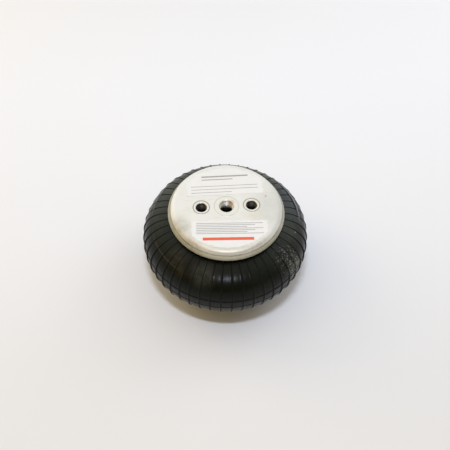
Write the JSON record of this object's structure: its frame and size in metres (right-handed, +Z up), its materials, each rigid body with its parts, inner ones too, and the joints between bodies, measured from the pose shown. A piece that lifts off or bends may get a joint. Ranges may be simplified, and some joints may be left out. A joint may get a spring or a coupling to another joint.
{
  "type": "air bellows actuator",
  "caption": "Single-convolution rubber air bellows crimped between two pressed steel bead plates with blind nuts and a central threaded air port; the plates close and part along one axis.",
  "frame": {"origin": "middle of the lower bead plate's outer face, on which the actuator stands", "axes": "+Z up along the stroke, +X along the line through the two blind nuts of each plate"},
  "size_m": [0.1516, 0.1516, 0.089],
  "materials": {
    "zinc_plated_sheet": "satin pale zinc plating, faintly yellowed at the rim",
    "turned_steel": "zinc-plated turned steel with threads",
    "bead_wire": "bronzed steel wire",
    "bellows_rubber": "moulded charcoal rubber, satin, dusty",
    "cord_ply": "rubberised tyre cord"
  },
  "bodies": {
    "lower_end": {"lower_bead_plate": "zinc_plated_sheet", "lower_blind_nut_left": "turned_steel", "lower_blind_nut_right": "turned_steel", "lower_bead_wire": "bead_wire", "lower_bead_filler": "bellows_rubber"},
    "bellows": {"outer_cover": "bellows_rubber", "outer_ply": "cord_ply", "inner_ply": "cord_ply", "inner_liner": "bellows_rubber"},
    "upper_end": {"upper_bead_plate": "zinc_plated_sheet", "air_port_bush": "turned_steel", "upper_blind_nut_left": "turned_steel", "upper_blind_nut_right": "turned_steel", "upper_bead_wire": "bead_wire", "upper_bead_filler": "bellows_rubber"}
  },
  "joints": [
    {"name": "stroke", "type": "slide", "parent": "lower_end", "child": "upper_end", "axis": [0, 0, 1], "range_m": [-0.038, 0.03], "stiffness_N_per_m": 4000, "deforming": ["outer_cover", "outer_ply", "inner_ply", "inner_liner"]},
    {"name": "bellows_middle", "type": "slide", "parent": "lower_end", "child": "bellows", "axis": [0, 0, 1], "range_m": [-0.019, 0.015]}
  ],
  "couplings": [
    {"joint": "bellows_middle", "follows": "stroke", "ratio": 0.5}
  ]
}
